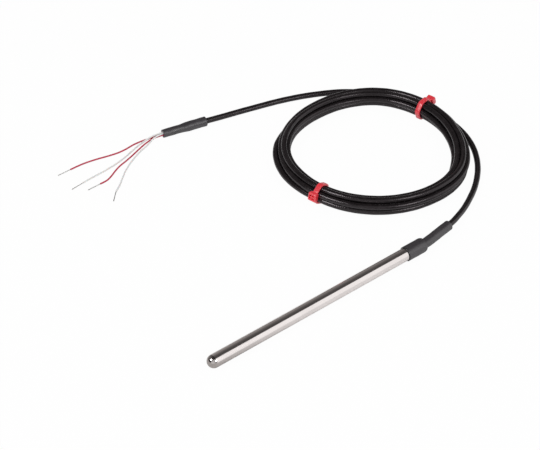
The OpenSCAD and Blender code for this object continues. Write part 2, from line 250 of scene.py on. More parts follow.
def smooth(points, step):
    """A smooth path through the points: between two of them a cubic, whose slope at each point is the mean
    of the slopes to its neighbours, the nearer one weighing more; then even steps."""
    p = np.asarray(points, float)
    gap = np.linalg.norm(np.diff(p, axis=0), axis=1)
    rise = np.diff(p, axis=0) / gap[:, None]
    weight = (gap[1:] / (gap[1:] + gap[:-1]))[:, None]
    slope = np.concatenate([rise[:1], rise[:-1] * weight + rise[1:] * (1 - weight), rise[-1:]])
    t = np.linspace(0, 1, 24, endpoint=False)[None, :, None]
    h = gap[:, None, None]
    a, b = p[:-1, None], p[1:, None]
    ma, mb = slope[:-1, None] * h, slope[1:, None] * h
    dense = (
        a * (2 * t**3 - 3 * t**2 + 1) + ma * (t**3 - 2 * t**2 + t)
        + b * (3 * t**2 - 2 * t**3) + mb * (t**3 - t**2)
    ).reshape(-1, 3)
    return even(np.concatenate([dense, p[-1:]]), step)


def unit(v):
    """Each direction, made one long."""
    return v / np.linalg.norm(v, axis=-1, keepdims=True)


def sides_round(sides):
    """Angles of a round section's sides, in one row."""
    return 2 * math.pi * np.arange(sides)[None] / sides


def sweep(path, s, radius, sides):
    """A circle carried along a path and held square to it: at distance s along the path it has that
    radius, one value for all the way round or one for each side. For a rim or a bore, distances run back."""
    at = lengths(path)
    tangent = unit(np.gradient(path, axis=0))
    side = unit(np.cross(tangent, UP))
    centre, tangent, side = [
        np.stack([np.interp(s, at, rows[:, k]) for k in range(3)], 1) for rows in (path, tangent, side)
    ]
    tangent, side = unit(tangent), unit(side)
    top = np.cross(side, tangent)
    angle = sides_round(sides)[..., None]
    radius = np.asarray(radius, float)
    radius = radius[:, None] * np.ones(sides) if radius.ndim == 1 else radius
    arm = np.cos(angle) * side[:, None] + np.sin(angle) * top[:, None]
    return centre[:, None] + radius[:, :, None] * arm


def on_floor(route):
    """A route given by heights above the floor, as places."""
    return np.asarray(route, float) + [0, 0, FLOOR]


def relief_point(share, on=0.0):
    """A point on the strain relief's axis: at a share of its level arc, then a distance straight on."""
    a = RELIEF_BEND * np.asarray(share, float)
    on = np.asarray(on, float)
    return np.stack([
        BEND_X + BEND_R * np.sin(a) + on * np.cos(a), BEND_R * (1 - np.cos(a)) + on * np.sin(a),
        np.zeros_like(a + on),
    ], -1)


RELIEF_AXIS = np.concatenate([
    relief_point(np.linspace(0, 1, 4)), relief_point(1, np.linspace(0, RELIEF_TAIL - RELIEF_BEND_LEN, 5)[1:])
])


def sleeve_point(s, side=0.0, up=0.0):
    """A point in the end sleeve: s along it from the cable's end, then to its side and up."""
    c, n = math.cos(SLEEVE_ANGLE), math.sin(SLEEVE_ANGLE)
    s = np.asarray(s, float)
    return np.stack([
        SLEEVE_START[0] + s * c - side * n, SLEEVE_START[1] + s * n + side * c,
        np.full_like(s, FLOOR + SLEEVE_R + up),
    ], -1)


# ---- the cable's lay in the coil ----

PASSES = 7
TURN = 180
DEGREES = 360 / TURN
LAST_TIE = UPPER_TIE + PASSES * 360
FIRST, LAST = UPPER_TIE - 58, LAST_TIE + 46
UPPER_REACH = CABLE_R / math.sin(math.pi / PASSES)
LOWER_REACH = CABLE_D * 1.02

# The cable's places in the bundle at each tie, one pass after another, as angles round the bundle's middle
UPPER_PLACES = [-16, -68, -119, 0, -171, 138, 86, 35]
LOWER_PLACES = [-30, -90, -150, 0, 150, 90, 30, 30]
MIDDLE_PLACE = 3
# Shares of a turn: where a pass starts to change places, how long that takes, and how far the passes differ
TO_LOWER, TO_UPPER, CHANGE, STAGGER = 0.06, 0.56, 0.34, 0.02

# Stops round the coil, each a bearing and a value
SWAY = [
    (12, -0.8), (45, 0.4), (88, -1.3), (140, -0.1), (193, -0.5), (225, -0.6), (255, 0.1), (285, 0.9),
    (342, -2.5),
]
MIDDLE_HEIGHT = [
    (12, BUNDLE_HEIGHT), (50, 5.2), (140, 4.8), (193, BUNDLE_HEIGHT - 0.3), (230, 5.5), (300, 5.2),
]
OVAL_WIDTH = [(12, 3.3), (50, 3.2), (138, 1.7), (193, 3), (230, 3.4), (280, 2.6), (345, 4)]
OVAL_HEIGHT = [(12, 3.3), (50, 2.8), (138, 3.4), (193, 3), (230, 3.4), (280, 3.2), (320, 3.1)]
LOOSENESS = [(12, 0), (50, 2), (130, 1), (193, 0), (230, 4), (280, 1), (340, 8)]

# The first pass strays outwards round this bearing: over how wide a stretch, with how much room, how drawn
STRAY_BEARING, STRAY_SPREAD = 150, 26
STRAY_ROOM = [3, 1.5]
STRAY_PULL = [0.0022, -0.003]

# How the passes settle, then rest: steps, shares moved at each, and samples that stay at both ends
SETTLING_STEPS, RESTING_STEPS = 600, 400
SETTLING_PUSH, RESTING_PUSH = 0.5, 0.06
STIFFNESS = 0.25
SINKING = 0.0004
ROUTE_PULL = 0.02
PINNED = 4
CABLE_SIDES = 20


def round_coil(bearing, stops):
    """A value round the coil, from a few stops of bearing and value: between two stops a soft S."""
    stops = np.asarray(stops, float)
    stops = np.concatenate([stops[-1:] - [360, 0], stops, stops[:1] + [360, 0]])
    k = np.clip(np.searchsorted(stops[:, 0], bearing, side="right") - 1, 0, len(stops) - 2)
    t = (bearing - stops[k, 0]) / (stops[k + 1, 0] - stops[k, 0])
    return stops[k, 1] + (stops[k + 1, 1] - stops[k, 1]) * t * t * (3 - 2 * t)


def soft(x):
    """A soft S that grows from 0 to 1 as x does."""
    return np.clip(x, 0, 1) ** 2 * (3 - 2 * np.clip(x, 0, 1))


def bundle_places(angles, radius):
    """Places in the bundle's cross-section, outwards then up: on a circle, but for the one in the middle."""
    a = np.radians(np.asarray(angles, float))
    reach = np.full(len(a), float(radius))
    reach[MIDDLE_PLACE] = 0
    return np.stack([reach * np.cos(a), reach * np.sin(a)], 1)


def lay_on_route(lay, angle, route, chosen, near, far, tied_at, seat):
    """Lays the chosen samples on a cord's route: straight from one to the next of the route's points that
    lie between two angles, and on to the seat in the tie."""
    points = np.asarray(route, float)
    out = points[:, :2] - np.array([COIL_X, COIL_Y])
    known = np.degrees(np.arctan2(out[:, 1], out[:, 0])) + (tied_at - UPPER_TIE)
    keep = (known > near) & (known < far)
    known = np.concatenate([known[keep], [tied_at]])
    reach = np.concatenate([np.hypot(out[keep, 0], out[keep, 1]) - COIL_R, seat[:1]])
    rise = np.concatenate([points[keep, 2], seat[1:]])
    order = np.argsort(known)
    lay[chosen, 0] = np.interp(angle[chosen], known[order], reach[order])
    lay[chosen, 1] = np.interp(angle[chosen], known[order], rise[order])


def push_apart(lay, share):
    """Samples of two passes at one bearing that lie nearer than the cable is thick move apart, along the
    line between them, by a share of what is missing."""
    for turns in range(1, PASSES + 1):
        a, b = lay[: -turns * TURN], lay[turns * TURN:]
        apart = b - a
        gap = np.maximum(np.linalg.norm(apart, axis=1), 1e-6)
        push = (np.clip(CABLE_D * 1.01 - gap, 0, None) * share / gap)[:, None] * apart
        a -= push
        b += push


def keep_inside(lay, middle, oval, held):
    """Brings samples back inside the bundle's oval section, up to the floor and inside the ties' circles."""
    away = (lay - middle) / oval
    far = np.linalg.norm(away, axis=1)
    out = far > 1
    lay[out] = middle[out] + oval[out] * away[out] / far[out, None]
    lay[:, 1] = np.maximum(lay[:, 1], CABLE_R)
    for near, reach in held:
        away = lay[near] - middle[near]
        far = np.maximum(np.linalg.norm(away, axis=1, keepdims=True), 1e-6)
        lay[near] = middle[near] + away * np.minimum(1, reach / far)


def coil_lay():
    """How each pass of the cable lies in the bundle. Each sample has its distance outwards from the coil's
    mean circle and its height above the floor. Passes start in neighbouring places of the bundle, one
    after another, and then settle: each bends little, pushes away what it would cut through, sinks a
    little, and stays on the floor, inside the ties and inside the bundle's oval section, which sways and
    loosens round the coil. One pass strays outwards at the side away from the probe, and both ends are
    drawn to their own routes."""
    angle = np.arange(FIRST, LAST + 1, DEGREES)
    bearing = angle % 360
    upper, lower = bundle_places(UPPER_PLACES, UPPER_REACH), bundle_places(LOWER_PLACES, CABLE_D)
    middle = np.stack([round_coil(bearing, SWAY), round_coil(bearing, MIDDLE_HEIGHT)], 1)
    oval = np.stack([round_coil(bearing, OVAL_WIDTH), round_coil(bearing, OVAL_HEIGHT)], 1)

    turn = np.floor((angle - UPPER_TIE) / 360).astype(int)
    share = (angle - UPPER_TIE) / 360 - turn
    here, there = np.clip(turn, 0, PASSES), np.clip(turn + 1, 0, PASSES)
    to_lower = soft((share - TO_LOWER - STAGGER * (here % 3)) / CHANGE)[:, None]
    to_upper = soft((share - TO_UPPER - STAGGER * (here % 2)) / CHANGE)[:, None]
    leaving_upper, at_lower, back = 1 - to_lower, to_lower * (1 - to_upper), to_upper * to_lower
    lay = middle + (upper[here] * leaving_upper + lower[here] * at_lower + upper[there] * back)

    first_seat = middle[np.argmin(np.abs(angle - UPPER_TIE))] + upper[0]
    last_seat = middle[np.argmin(np.abs(angle - LAST_TIE))] + upper[PASSES]
    lay_on_route(lay, angle, START_ROUTE, angle < UPPER_TIE, -80, 2, UPPER_TIE, first_seat)
    lay_on_route(lay, angle, TAIL_ROUTE, angle > LAST_TIE, LAST_TIE + 13, LAST_TIE + 68, LAST_TIE, last_seat)

    wave = np.sin(np.radians(bearing * 2 + 70 * turn)) + 0.6 * np.sin(np.radians(bearing * 3 + 133 * turn))
    between_ties = soft(np.abs(np.sin(np.radians(bearing - UPPER_TIE))) * 1.4)
    inner = (angle > UPPER_TIE + 6) & (angle < LAST_TIE - 6)
    lay[inner, 0] += (0.35 * wave * between_ties)[inner]

    strays = ((turn == 0) * np.exp(-((bearing - STRAY_BEARING) / STRAY_SPREAD) ** 2))[:, None]
    looseness = 0.001 * round_coil(bearing, LOOSENESS)[:, None] * (1 - strays)
    leaving = (np.clip(UPPER_TIE - angle, 0, None) + np.clip(angle - LAST_TIE, 0, None))[:, None]
    oval = (oval + strays * STRAY_ROOM) * (1 + (leaving / 10) ** 2)
    held = [
        (np.abs(bearing - UPPER_TIE) < 2, UPPER_REACH * 1.01), (np.abs(bearing - LOWER_TIE) < 3, LOWER_REACH),
    ]
    route, follow = lay.copy(), ROUTE_PULL * np.clip(leaving / 20 - 0.2, 0, 1)
    for step in range(SETTLING_STEPS + RESTING_STEPS):
        settling = step < SETTLING_STEPS
        lay[1:-1] += STIFFNESS * (lay[:-2] + lay[2:] - 2 * lay[1:-1])
        lay += follow * (route - lay)
        if settling:
            lay += looseness * (lay - middle)
            lay += strays * STRAY_PULL - [0, SINKING]
        push_apart(lay, SETTLING_PUSH if settling else RESTING_PUSH)
        keep_inside(lay, middle, oval, held)
        lay[:PINNED], lay[-PINNED:] = route[:PINNED], route[-PINNED:]
    return angle, lay


coil_angle, lay = coil_lay()
round_it = np.radians(coil_angle)
coil_path = np.stack([
    COIL_X + (COIL_R + lay[:, 0]) * np.cos(round_it), COIL_Y + (COIL_R + lay[:, 0]) * np.sin(round_it),
    FLOOR + lay[:, 1],
], 1)
cable_points = np.concatenate([
    [[4, 0, 0], [8, 0, 0]], RELIEF_AXIS, on_floor(START_ROUTE[:5]), coil_path[1:-1],
    on_floor(TAIL_ROUTE[5:]), sleeve_point([0, 5.5, SLEEVE_GRIP]),
])
cable_path = smooth(cable_points, 1.1)
cable_s = lengths(cable_path)
along, around = cable_s[:, None], sides_round(CABLE_SIDES)
ripple = 0.012 * np.sin(along * 0.9 + 2 * around) + 0.008 * np.sin(along * 0.37 + around)
cable = skin("cable", [(sweep(cable_path, cable_s, CABLE_R + ripple, CABLE_SIDES), cable_s)])

# ---- leads ----

STRANDS = 7
STRAND_R = WIRE_D / 6
STRAND_PITCH = 5.2
STRAND_OPENING = 0.55
STRANDS_INSIDE = 0.5
STRAND_ROWS = 34


def rounded_end(length, radius, inner):
    """Distances and radii of a tube's far end: a small rounded edge, then in to what comes out of it."""
    edge = min(0.08, (radius - inner) * 0.5)
    a = np.linspace(0, math.pi / 2, 4)
    s = np.concatenate([length - edge + edge * np.sin(a), [length, length - 0.3]])
    r = np.concatenate([radius - edge + edge * np.cos(a), [inner, inner]])
    return s, r


def lead(name, route):
    """One insulated core: a round cord on its route, and its rounded cut end."""
    side, up = LEAD_SEATS[name]
    start = sleeve_point([SLEEVE_GRIP, SLEEVE_GRIP + 5, SLEEVE_LEN], side * LEAD_SPREAD, up * LEAD_SPREAD)
    path = smooth(np.concatenate([start, on_floor(route)]), 0.45)
    length = lengths(path)[-1]
    end_s, end_r = rounded_end(length, CORE_D / 2, WIRE_D / 2)
    s = np.concatenate([np.linspace(0, length - 0.2, 150), end_s])
    r = np.concatenate([np.full(150, CORE_D / 2), end_r])
    return skin("lead_wire_" + name, [(sweep(path, s, r, 14), s)]), path, length


def bared_strands(name, lead_path):
    """A lead's bare strands: six wound round a straight one as a helix, which opens towards the cut ends."""
    out = unit(lead_path[-1] - lead_path[-4])
    if name == "white_b":
        c, n = math.cos(WHITE_B_TURN), math.sin(WHITE_B_TURN)
        out = np.array([out[0] * c - out[1] * n, out[0] * n + out[1] * c, out[2]])
    wire = lead_path[-1] + np.linspace(-STRANDS_INSIDE, BARE_LEN, STRAND_ROWS)[:, None] * out
    along = lengths(wire)
    tangent = unit(np.gradient(wire, axis=0))
    level = unit(np.cross(tangent, UP))
    top = np.cross(level, tangent)
    grids = []
    for k in range(STRANDS):
        central = k == STRANDS - 1
        phase = 2 * math.pi * (k / (STRANDS - 1) + along / STRAND_PITCH)
        opening = (0.0 if central else STRAND_OPENING) * np.clip((along - 5.6) / 2, 0, 1) ** 2
        off = (0 if central else 2 * STRAND_R) * (1 + opening)
        strand = wire + off[:, None] * (np.cos(phase)[:, None] * level + np.sin(phase)[:, None] * top)
        cut = min(along[-1] - 0.12 * (k % 3), lengths(strand)[-1])
        tube = sweep(strand, np.linspace(0, cut, STRAND_ROWS), np.full(STRAND_ROWS, STRAND_R), 6)
        grids.append((tube, along))
    return skin("bared_strands_" + name, grids)


leads, bare_ends = {}, {}
for name, route in LEAD_ROUTES.items():
    leads[name] = lead(name, route)
    bare_ends[name] = bared_strands(name, leads[name][1])

# ---- shrink sleeves ----

SLEEVE_SIDES = 48
RELIEF_FALL, RELIEF_FALL_LEN = 9.2, 1.9
RELIEF_FOOT, RELIEF_FOOT_LEN, RELIEF_FOOT_DROP = 10.6, 1.4, 0.12
BORE_ROOM = 0.02
FILL_R = 1.0


def sleeve_profile(length, outer, mouth_r, end_r, rim, end_rim):
    """Distances and radii of a sleeve: from inside its mouth, round the rim, along the outside and into
    its end. outer gives the outside's radius at a distance, and each rim is a quarter circle."""
    a = np.linspace(0, math.pi / 2, 5)
    body = np.linspace(rim, length - end_rim, 110)[1:-1]
    s = np.concatenate([
        [1.2, 0.1, 0.02], rim - rim * np.cos(a), body,
        length - end_rim + end_rim * np.sin(a), [length - 0.03, length - 0.6],
    ])
    r = np.concatenate([
        [mouth_r, mouth_r, mouth_r + 0.04], outer(0) - rim + rim * np.sin(a), outer(body),
        outer(length) - end_rim + end_rim * np.cos(a), [end_r + 0.04, end_r],
    ])
    return s, r


def relief_outer(s):
    """Full over the sheath, rounded down over its end in a quarter ellipse, then even along the cable."""
    s = np.asarray(s, float)
    fall = np.sqrt(1 - np.clip((s - RELIEF_FALL) / RELIEF_FALL_LEN, 0, 1) ** 2)
    foot = np.clip((s - RELIEF_FOOT) / RELIEF_FOOT_LEN, 0, 1)
    drop = RELIEF_R - RELIEF_CABLE_R - RELIEF_FOOT_DROP
    return RELIEF_R - drop * (1 - fall) - RELIEF_FOOT_DROP * foot * foot * (3 - 2 * foot)


def end_outer(s):
    """Even over the cable's jacket, then down in a soft S where the jacket ends, to the leads."""
    t = np.clip((np.asarray(s, float) - (SLEEVE_GRIP - 2.5)) / 6, 0, 1)
    return SLEEVE_R + (SLEEVE_LEAD_R - SLEEVE_R) * t * t * (3 - 2 * t)


def strain_relief_sleeve():
    """The sleeve over the sheath's end and the cable, carried along its bent axis, with a slight waviness."""
    path = smooth(np.concatenate([[[0, 0, 0], [4, 0, 0], [8, 0, 0]], RELIEF_AXIS]), 0.4)
    s, r = sleeve_profile(lengths(path)[-1], relief_outer, NECK_R, CABLE_R + BORE_ROOM, 0.2, 0.3)
    along, around = s[:, None], sides_round(SLEEVE_SIDES)
    wobble = 0.02 * np.sin(along * 0.55 + 3 * around) + 0.015 * np.sin(along * 1.3 - 2 * around)
    wobble = wobble * np.clip(along / 3, 0, 1) * (along > 0.3)
    return skin("strain_relief_sleeve", [(sweep(path, s, r[:, None] + wobble - 0.02, SLEEVE_SIDES), s)])


def end_sleeve_shrink():
    """The sleeve over the cable's end and the leads: slightly wavy, and squarer over the four leads."""
    path = sleeve_point(np.linspace(0, SLEEVE_LEN, 60))
    s, r = sleeve_profile(SLEEVE_LEN, end_outer, CABLE_R + BORE_ROOM, FILL_R + BORE_ROOM, 0.32, 0.21)
    along, around = s[:, None], sides_round(SLEEVE_SIDES)
    wobble = 0.03 * np.sin(along * 0.7 + 2 * around) + 0.02 * np.sin(along * 1.5 - 3 * around)
    squarer = 0.05 * np.cos(4 * around) * np.clip((along - SLEEVE_GRIP) / 4, 0, 1)
    radius = r[:, None] + (wobble - 0.03 + squarer) * (along > 0.3) * (r > 1.5)[:, None]
    return skin("end_sleeve_shrink", [(sweep(path, s, radius, SLEEVE_SIDES), s)])


def end_sleeve_fill():
    """The hardened filling between the leads, a round plug just inside the sleeve's end."""
    path = sleeve_point(np.linspace(0, SLEEVE_LEN, 60))
    s = np.array([SLEEVE_GRIP + 1, SLEEVE_LEN - 0.7, SLEEVE_LEN - 0.6])
    return skin("end_sleeve_fill", [(sweep(path, s, [FILL_R, FILL_R, 0.85], 32), s)])


strain_relief = strain_relief_sleeve()
end_sleeve = end_sleeve_shrink()
end_fill = end_sleeve_fill()

# ---- sheath ----

SHEATH_SIDES = 96


def sheath_tube():
    """The sheath, its profile turned round its axis: the domed tip, the body, the end swaged down under
    the strain relief, and the bore back to the inside of the dome."""
    a = np.linspace(math.pi * 0.004, math.pi / 2, 30)
    dome = TIP_X + SHEATH_R
    body, bore = np.linspace(dome, -0.25, 60)[1:], np.linspace(-1, dome, 12)
    bore_r = SHEATH_R - SHEATH_WALL
    x = np.concatenate([
        dome - SHEATH_R * np.cos(a), body,
        [-0.05, 0.0, 4, GRIP_LEN - 0.1, GRIP_LEN, GRIP_LEN, GRIP_LEN - 0.1],
        [0, -0.6], bore, dome - bore_r * np.cos(a[::-1]),
    ])[:, None]
    r = np.concatenate([
        SHEATH_R * np.sin(a), np.full(len(body), SHEATH_R),
        [SHEATH_R - 0.06, NECK_R, NECK_R, NECK_R, NECK_R - 0.1, NECK_R - 0.4, NECK_R - 0.5],
        [NECK_R - 0.5, bore_r], np.full(len(bore), bore_r), bore_r * np.sin(a[::-1]),
    ])[:, None]
    around = sides_round(SHEATH_SIDES)
    grid = np.stack([x * np.ones(SHEATH_SIDES), r * np.sin(around), r * np.cos(around)], -1)
    return skin("sheath_tube", [(grid, lengths(np.concatenate([x, r], 1)))])


sheath = sheath_tube()

# ---- ties ----

STRAP_EDGE = 0.22
STRAP_CROWN = 0.05
STRAP_CLEARANCE = 0.06
STRAP_ROWS = 180
HEAD_TOP = HEAD_H + 0.25
HEAD_EDGE = 0.55
HEAD_SIDES = 64
WINDOW_HALF_LEN, WINDOW_HALF_W = 0.95, 1.45
WINDOW_LIP = 0.15
TAIL_SHIFT = -0.38
TAIL_SIDES = 40
CORNER_POWER = 0.25


def hull(places, radius, count):
    """Outline round circles of one radius: in each direction the outermost circle's edge, then the whole
    length taken at even steps and softened."""
    a = 2 * math.pi * np.arange(720) / 720
    look = np.stack([np.cos(a), np.sin(a)], 1)
    edge = places[np.argmax(look @ places.T, axis=1)] + radius * look
    closed = np.concatenate([edge, edge[:1]])
    s = lengths(closed)
    t = np.linspace(0, s[-1], count, endpoint=False)
    line = np.stack([np.interp(t, s, closed[:, k]) for k in range(2)], 1)
    for _ in range(6):
        line = 0.5 * line + 0.25 * (np.roll(line, 1, axis=0) + np.roll(line, -1, axis=0))
    return line


def rounded_outline(half_a, half_b, count):
    """A rectangle with round corners: the cosine and the sine of even angles, each raised to a small
    power."""
    a = 2 * math.pi * (np.arange(count) + 0.5) / count
    c, n = np.cos(a), np.sin(a)
    return np.stack([
        np.abs(c) ** CORNER_POWER * np.sign(c) * half_a, np.abs(n) ** CORNER_POWER * np.sign(n) * half_b,
    ], 1)


def strap_section():
    """The strap's section: distances outward and sideways round a rectangle with rounded edges, whose
    outer face is slightly crowned."""
    quarter = np.linspace(0, math.pi / 2, 6)
    far, wide = STRAP_T - STRAP_EDGE, STRAP_W / 2 - STRAP_EDGE
    out, aside = [], []
    for k, (o, w) in enumerate([(far, wide), (STRAP_EDGE, wide), (STRAP_EDGE, -wide), (far, -wide)]):
        a = quarter + k * math.pi / 2
        out.append(o + STRAP_EDGE * np.cos(a))
        aside.append(w + STRAP_EDGE * np.sin(a))
    out, aside = np.concatenate(out), np.concatenate(aside)
    crown = STRAP_CROWN * np.cos(aside * math.pi / (STRAP_W / 2)) * (out > STRAP_T * 0.8)
    return out + crown, aside


def head_outlines():
    """The head's outlines one after another, up the outside, over the rounded top, down the window and
    back under: each has its half sizes along the strap and across it, and its height above the strap."""
    t = np.linspace(0, math.pi / 2, 6)
    inset = np.concatenate([HEAD_EDGE * (1 - np.sin(t)), HEAD_EDGE * (1 - np.cos(t))])
    height = np.concatenate([HEAD_EDGE * (1 - np.cos(t)), HEAD_TOP - HEAD_EDGE * (1 - np.sin(t))])
    outside = [(HEAD_LEN / 2 - i, HEAD_W / 2 - i, h) for i, h in zip(inset, height)]
    window = [
        (WINDOW_LIP, HEAD_TOP), (WINDOW_LIP * 0.3, HEAD_TOP - WINDOW_LIP * 0.35), (0, HEAD_TOP - WINDOW_LIP),
        (0, 0.1), (0.1, 0.0),
    ]
    return outside + [(WINDOW_HALF_LEN + grow, WINDOW_HALF_W + grow, h) for grow, h in window]


def tail_outlines():
    """The strap's cut end in the window, with a small bevel round its cut: outlines as the head's are."""
    steps = [(0.2, 0.0), (HEAD_H - 0.4, 0.0), (HEAD_H - 0.32, -0.06), (HEAD_H - 0.3, -0.14)]
    return [(STRAP_T / 2 + grow, STRAP_W / 2 + grow, h) for h, grow in steps]


def tie(name, degrees):
    """A tie: a strap round the cable's passes, and its head with the cut end of the strap in its window."""
    t = math.radians(degrees)
    outward = np.array([math.cos(t), math.sin(t), 0])
    along = np.array([-math.sin(t), math.cos(t), 0])
    centre = np.array([COIL_X, COIL_Y, FLOOR]) + COIL_R * outward
    at = np.arange(degrees, LAST_TIE + 1, 360)
    passes = np.stack([np.interp(at, coil_angle, lay[:, k]) for k in range(2)], 1)
    line = hull(passes, CABLE_R + STRAP_CLEARANCE, STRAP_ROWS)

    def spot(plane, aside):
        """A point from its place in the section, outward and up, and its distance along the cable."""
        return centre + plane[..., :1] * outward + plane[..., 1:] * UP + aside[..., None] * along

    tangent = unit(np.roll(line, -1, axis=0) - np.roll(line, 1, axis=0))
    normal = np.stack([tangent[:, 1], -tangent[:, 0]], 1)
    out, aside = strap_section()
    plane = line[:, None] + out[None, :, None] * normal[:, None]
    strap_grid = spot(plane, np.broadcast_to(aside, plane.shape[:2]))
    strap = skin(name + "_strap", [(strap_grid, lengths(line))], ring=True)

    face = np.array([math.cos(HEAD_ANGLE), math.sin(HEAD_ANGLE)])
    cross = np.array([-face[1], face[0]])
    middle = (line.max(0) + line.min(0)) / 2
    base = middle + face * (np.max((line - middle) @ face) + 0.25)

    def pile(outlines, sides, shift):
        """Rows of a grid, one rounded outline above another on the strap."""
        rows = []
        for half_a, half_b, height in outlines:
            outline = rounded_outline(half_a, half_b, sides)
            rows.append(spot(base + face * height + cross * (outline[:, :1] + shift), outline[:, 1]))
        return np.stack(rows)

    grid = pile(head_outlines(), HEAD_SIDES, 0)
    head = skin(name + "_head", [(grid, np.arange(len(grid)) * 0.4)], ring=True)
    grid = pile(tail_outlines(), TAIL_SIDES, TAIL_SHIFT)
    tail = skin(name + "_tail", [(grid, np.arange(len(grid)) * 0.5)])
    return [strap, head, tail]


upper_tie = tie("tie_upper", UPPER_TIE)
lower_tie = tie("tie_lower", LOWER_TIE)

# ---- finishes ----

def finish(name, **values):
    """A new material, its tree and its shader, with the shader's plain values set."""
    made = bpy.data.materials.new(name)
    made.use_nodes = True
    shader = made.node_tree.nodes["Principled BSDF"]
    for key, value in values.items():
        shader.inputs[key.replace("_", " ")].default_value = value
    return made, made.node_tree, shader


def add(tree, kind, inputs=(), **settings):
    """A new node with its settings, and its inputs set or linked."""
    made = tree.nodes.new(kind)
    for key, value in settings.items():
        setattr(made, key, value)
    for key, value in dict(inputs).items():
        if isinstance(value, bpy.types.NodeSocket):
            tree.links.new(value, made.inputs[key])
        else:
            made.inputs[key].default_value = value
    return made


def place_on(tree, scale=(1, 1, 1)):
    """The place on the piece, scaled per axis."""
    coords = add(tree, "ShaderNodeTexCoord").outputs["Object"]
    return add(tree, "ShaderNodeMapping", {"Vector": coords, "Scale": scale}).outputs["Vector"]


def noise(tree, where, scale, detail=3.0, roughness=0.55):
    """Clouds or grains of one size, with a few finer ones in them."""
    inputs = {"Vector": where, "Scale": scale, "Detail": detail, "Roughness": roughness}
    return add(tree, "ShaderNodeTexNoise", inputs).outputs["Fac"]


def spread(tree, value, low, high, start=0.0, end=1.0):
    """The value's range from low to high, stretched to run from start to end."""
    return add(tree, "ShaderNodeMapRange", {0: value, 1: low, 2: high, 3: start, 4: end}).outputs[0]


def tint(tree, value, *stops):
    """A colour that runs through the stops, each a position and a colour, as the value grows."""
    ramp = add(tree, "ShaderNodeValToRGB", {"Fac": value})
    elements = ramp.color_ramp.elements
    while len(elements) < len(stops):
        elements.new(0.5)
    for element, (at, colour) in zip(elements, stops):
        element.position = at
        element.color = (*colour, 1)
    return ramp.outputs["Color"]


def math_node(tree, kind, a, b=0.0):
    """One step of arithmetic on one or two values."""
    return add(tree, "ShaderNodeMath", {0: a, 1: b}, operation=kind).outputs[0]


def coat(tree, shader, colour, rough, height, strength, distance):
    """Gives a shader its colour, its roughness and a fine relief of a height, by a strength over a
    distance."""
    made = add(tree, "ShaderNodeBump", {"Height": height, "Strength": strength, "Distance": distance})
    for value, name in ((colour, "Base Color"), (rough, "Roughness"), (made.outputs["Normal"], "Normal")):
        tree.links.new(value, shader.inputs[name])


def steel_finish():
    """Ground and lightly polished steel: fine rings round the tube, faint clouding and stray longer marks."""
    made, tree, shader = finish("ground_steel", Metallic=1.0)
    rings = noise(tree, place_on(tree, (1, 0.04, 0.04)), 5200, 2)
    marks = noise(tree, place_on(tree, (0.25, 1, 1)), 900, 3)
    cloud = noise(tree, place_on(tree), 140, 2)
    colour = tint(tree, cloud, (0.3, (0.82, 0.765, 0.75)), (0.7, (0.87, 0.815, 0.80)))
    ground, marked = spread(tree, rings, 0.3, 0.7, 0.09, 0.14), spread(tree, marks, 0.4, 0.75, 0.0, 0.05)
    height = math_node(tree, "ADD", rings, math_node(tree, "MULTIPLY", marks, 0.2))
    coat(tree, shader, colour, math_node(tree, "ADD", ground, marked), height, 0.07, 0.000008)
    return made


BRAID_PITCH = 1.9
BRAID_STRANDS = 6


def cable_finish():
    """Black jacket over a braid: the braid's crossing strands show faintly through, as the product of two
    waves that run slantwise round the cable, one to each side, with small scuffs and dust."""
    made, tree, shader = finish("cable_jacket", Specular_IOR_Level=0.47, Specular_Tint=(1.0, 0.91, 0.95, 1))
    parts = add(tree, "ShaderNodeSeparateXYZ", {"Vector": add(tree, "ShaderNodeTexCoord").outputs["UV"]})
    run = math_node(tree, "MULTIPLY", parts.outputs["X"], 2 * math.pi / BRAID_PITCH)
    way = math_node(tree, "MULTIPLY", parts.outputs["Y"], 2 * math.pi * BRAID_STRANDS)
    left = math_node(tree, "SINE", math_node(tree, "ADD", run, way))
    right = math_node(tree, "SINE", math_node(tree, "SUBTRACT", run, way))
    braid = math_node(tree, "MULTIPLY", left, right)
    speck = noise(tree, place_on(tree), 2600, 3, 0.7)
    patch = noise(tree, place_on(tree), 220, 3)
    shade = math_node(tree, "ADD", spread(tree, speck, 0.45, 0.8), spread(tree, patch, 0.3, 0.8, 0.0, 0.4))
    colour = tint(tree, shade, (0.15, (0.0075, 0.0058, 0.0064)), (0.85, (0.024, 0.020, 0.0215)))
    worn, dusty = spread(tree, patch, 0.3, 0.7, 0.16, 0.25), spread(tree, speck, 0.4, 0.8, 0.0, 0.08)
    height = math_node(tree, "ADD", math_node(tree, "MULTIPLY", braid, 0.7), speck)
    coat(tree, shader, colour, math_node(tree, "ADD", worn, dusty), height, 0.4, 0.00005)
    return made


